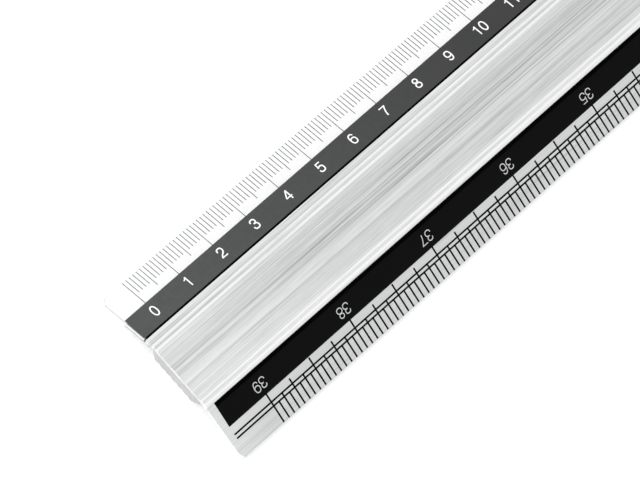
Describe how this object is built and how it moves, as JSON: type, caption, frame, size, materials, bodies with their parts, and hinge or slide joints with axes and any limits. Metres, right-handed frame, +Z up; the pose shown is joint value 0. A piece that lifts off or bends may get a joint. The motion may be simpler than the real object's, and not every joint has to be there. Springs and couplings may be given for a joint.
{
  "type": "drawing ruler",
  "caption": "Flat aluminium drawing ruler with a shallow roof section, a clear acrylic metric scale edge, an inch scale facet and a ribbed anti-slip strip underneath.",
  "frame": {"origin": "middle of the ruler's length and width, in the plane of the rib crests it rests on", "axes": "+X along the ruler from the metric zero end to the hundred end, +Y towards the clear metric edge, +Z up out of the printed face"},
  "size_m": [1.0126, 0.042, 0.0054],
  "materials": {
    "brushed_aluminium": "clear anodised, brushed along the length",
    "clear_acrylic": "clear polished acrylic that carries the printed metric scale",
    "black_film": "black double-sided bonding film",
    "grey_rubber": "matt light grey, moulded",
    "scale_ink": "screen-printed ink"
  },
  "bodies": {
    "root": {"aluminium_profile": "brushed_aluminium", "clear_scale_strip": "clear_acrylic", "strip_bonding_film": "black_film", "anti_slip_strip": "grey_rubber", "anti_slip_bonding_film": "black_film"}
  },
  "joints": []
}
